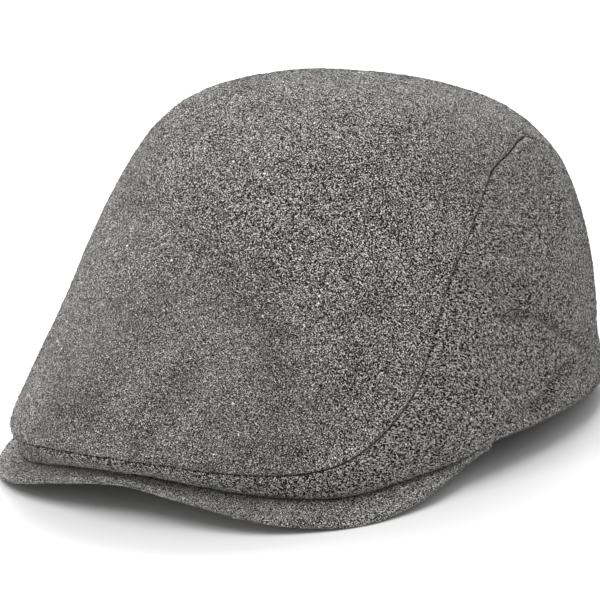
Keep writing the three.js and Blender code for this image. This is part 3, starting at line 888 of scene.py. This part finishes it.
def nepTree(material):
    tree, sockets, end = startTree("scatterNeps", nep)
    ball = {"Radius": sockets["Size"], "Subdivisions": 2}
    ball = addNode(tree, "GeometryNodeMeshIcoSphere", ball).outputs[0]
    rough = addNode(tree, "ShaderNodeTexNoise", nepBumps).outputs["Color"]
    push = vectorMath(tree, "SUBTRACT", "Vector", rough, (0.5, 0.5, 0.5))
    push = addNode(tree, "ShaderNodeVectorMath", {0: push, "Scale": sockets["Roughness"]},
                   operation="SCALE").outputs[0]
    shape = addNode(tree, "GeometryNodeSetPosition", {"Geometry": ball, "Offset": push}).outputs[0]
    scatterInto(tree, sockets, shape, "nep", material, end)
    return tree


def scatterOver(base, name, tree, inputs):  # the tree's result over a piece, as a plain mesh
    carrier = bpy.data.objects.new(name + "Carrier", base.data.copy())
    bpy.context.scene.collection.objects.link(carrier)
    modifier = carrier.modifiers.new("scatter", "NODES")
    modifier.node_group = tree
    for item in tree.interface.items_tree:
        if item.in_out == "INPUT" and item.name in inputs:
            modifier[item.identifier] = inputs[item.name]
    seen = carrier.evaluated_get(bpy.context.evaluated_depsgraph_get())
    mesh = bpy.data.meshes.new_from_object(seen)
    carrier.modifiers.clear()
    bpy.data.objects.remove(carrier)
    mesh.name = name
    thing = bpy.data.objects.new(name, mesh)
    bpy.context.scene.collection.objects.link(thing)
    print(name, len(mesh.polygons), "faces")
    return thing


# Studio and camera
studio = {
    "world": {"Color": (1, 1, 1, 1), "Strength": 0.6},
    "floorSide": 14.0,
    "floor": {"Base Color": (0.93, 0.93, 0.93, 1), "Roughness": 0.9, "Specular IOR Level": 0.1},
    # name, azimuth and elevation of the lamp, distance, side in metres and watts
    "lamps": [("keyLight", -8, 60, 2.2, 1.6, 29), ("backLight", -148, 44, 2.4, 1.4, 38)],
}
camera = {
    "target": (0, -0.0073, 0.0526),
    "azimuth": 35.31,  # degrees round from the front
    "elevation": 15.31,
    "roll": 3.56,
    "distance": 1.4818,
    "lens": 226.0,  # millimetres, and so is the sensor
    "sensorWidth": 36,
    "shift": (0.0140, 0.0118),
}


def around(azimuth, elevation):
    a, e = np.radians(azimuth), np.radians(elevation)
    return Vector((np.sin(a) * np.cos(e), -np.cos(a) * np.cos(e), np.sin(e)))


def makeStudio():
    world = bpy.data.worlds.new("studioWorld")
    world.use_nodes = True
    for key, value in studio["world"].items():
        world.node_tree.nodes["Background"].inputs[key].default_value = value
    bpy.context.scene.world = world
    side = studio["floorSide"] / 2
    mesh = bpy.data.meshes.new("floor")
    corners = [(-side, -side, 0), (side, -side, 0), (side, side, 0), (-side, side, 0)]
    mesh.from_pydata(corners, [], [(0, 1, 2, 3)])
    floor = bpy.data.objects.new("floor", mesh)
    bpy.context.scene.collection.objects.link(floor)
    material, _, _ = startMaterial("paleFloor", studio["floor"])
    mesh.materials.append(material)
    for name, azimuth, elevation, distance, size, watts in studio["lamps"]:
        light = bpy.data.lights.new(name, "AREA")
        light.energy, light.size = watts, size
        lamp = bpy.data.objects.new(name, light)
        back = around(azimuth, elevation)
        lamp.location = Vector(camera["target"]) + back * distance
        lamp.rotation_mode = "QUATERNION"
        lamp.rotation_quaternion = (-back).to_track_quat("-Z", "Y")
        bpy.context.scene.collection.objects.link(lamp)


def makeCamera():
    data = bpy.data.cameras.new("photoView")
    data.lens, data.sensor_width = camera["lens"], camera["sensorWidth"]
    data.shift_x, data.shift_y = camera["shift"]
    view = bpy.data.objects.new("photoView", data)
    back = around(camera["azimuth"], camera["elevation"])
    right = Vector((0, 0, 1)).cross(back).normalized()
    up = back.cross(right)
    lean = np.radians(camera["roll"])
    across = right * np.cos(lean) - up * np.sin(lean)
    upright = up * np.cos(lean) + right * np.sin(lean)
    view.matrix_world = Matrix((across, upright, back)).transposed().to_4x4()
    view.location = Vector(camera["target"]) + back * camera["distance"]
    bpy.context.scene.collection.objects.link(view)
    bpy.context.scene.camera = view


bpy.context.scene.view_settings.view_transform = "Standard"
makeStudio()
makeCamera()
print("studio and camera made")

topWool, sideWoolPaintedShade, peakWoolPaintedLight = makeWool("topWool"), makeWool("sideWoolPaintedShade"), makeWool("peakWoolPaintedLight")
fibreFinish = makeFibreFinish("looseFibre")
nepFinish, _, _ = startMaterial("whiteNep", nepShader)
print("finishes made")

pieces = [
    (makeTopPanel(), "top_panel", "crown_wool", topWool),
    (makeSidePanel("sidePanelLeft", 1), "side_panel_left", "crown_wool", sideWoolPaintedShade),
    (makeSidePanel("sidePanelRight", -1), "side_panel_right", "crown_wool", sideWoolPaintedShade),
    (makePeak(), "peak", "peak_wool", peakWoolPaintedLight),
]
fibres, tufts, neps = fibreTree(fibreFinish), tuftTree(fibreFinish), nepTree(nepFinish)
for piece, node, slot, material in pieces:
    piece.data.materials.append(material)
    ownTuft = tuft | {"Density": tuftDensity.get(piece.name, tuft["Density"])}
    scattered = [
        scatterOver(piece, piece.name + "Nap", fibres, lyingFibre),
        scatterOver(piece, piece.name + "Fuzz", fibres, standingFibre),
        scatterOver(piece, piece.name + "Tufts", tufts, ownTuft),
        scatterOver(piece, piece.name + "Neps", neps, nep),
    ]
    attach(piece, "root")
    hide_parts(node)
    for extra in scattered:
        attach(extra, "root")
print("cap dressed")
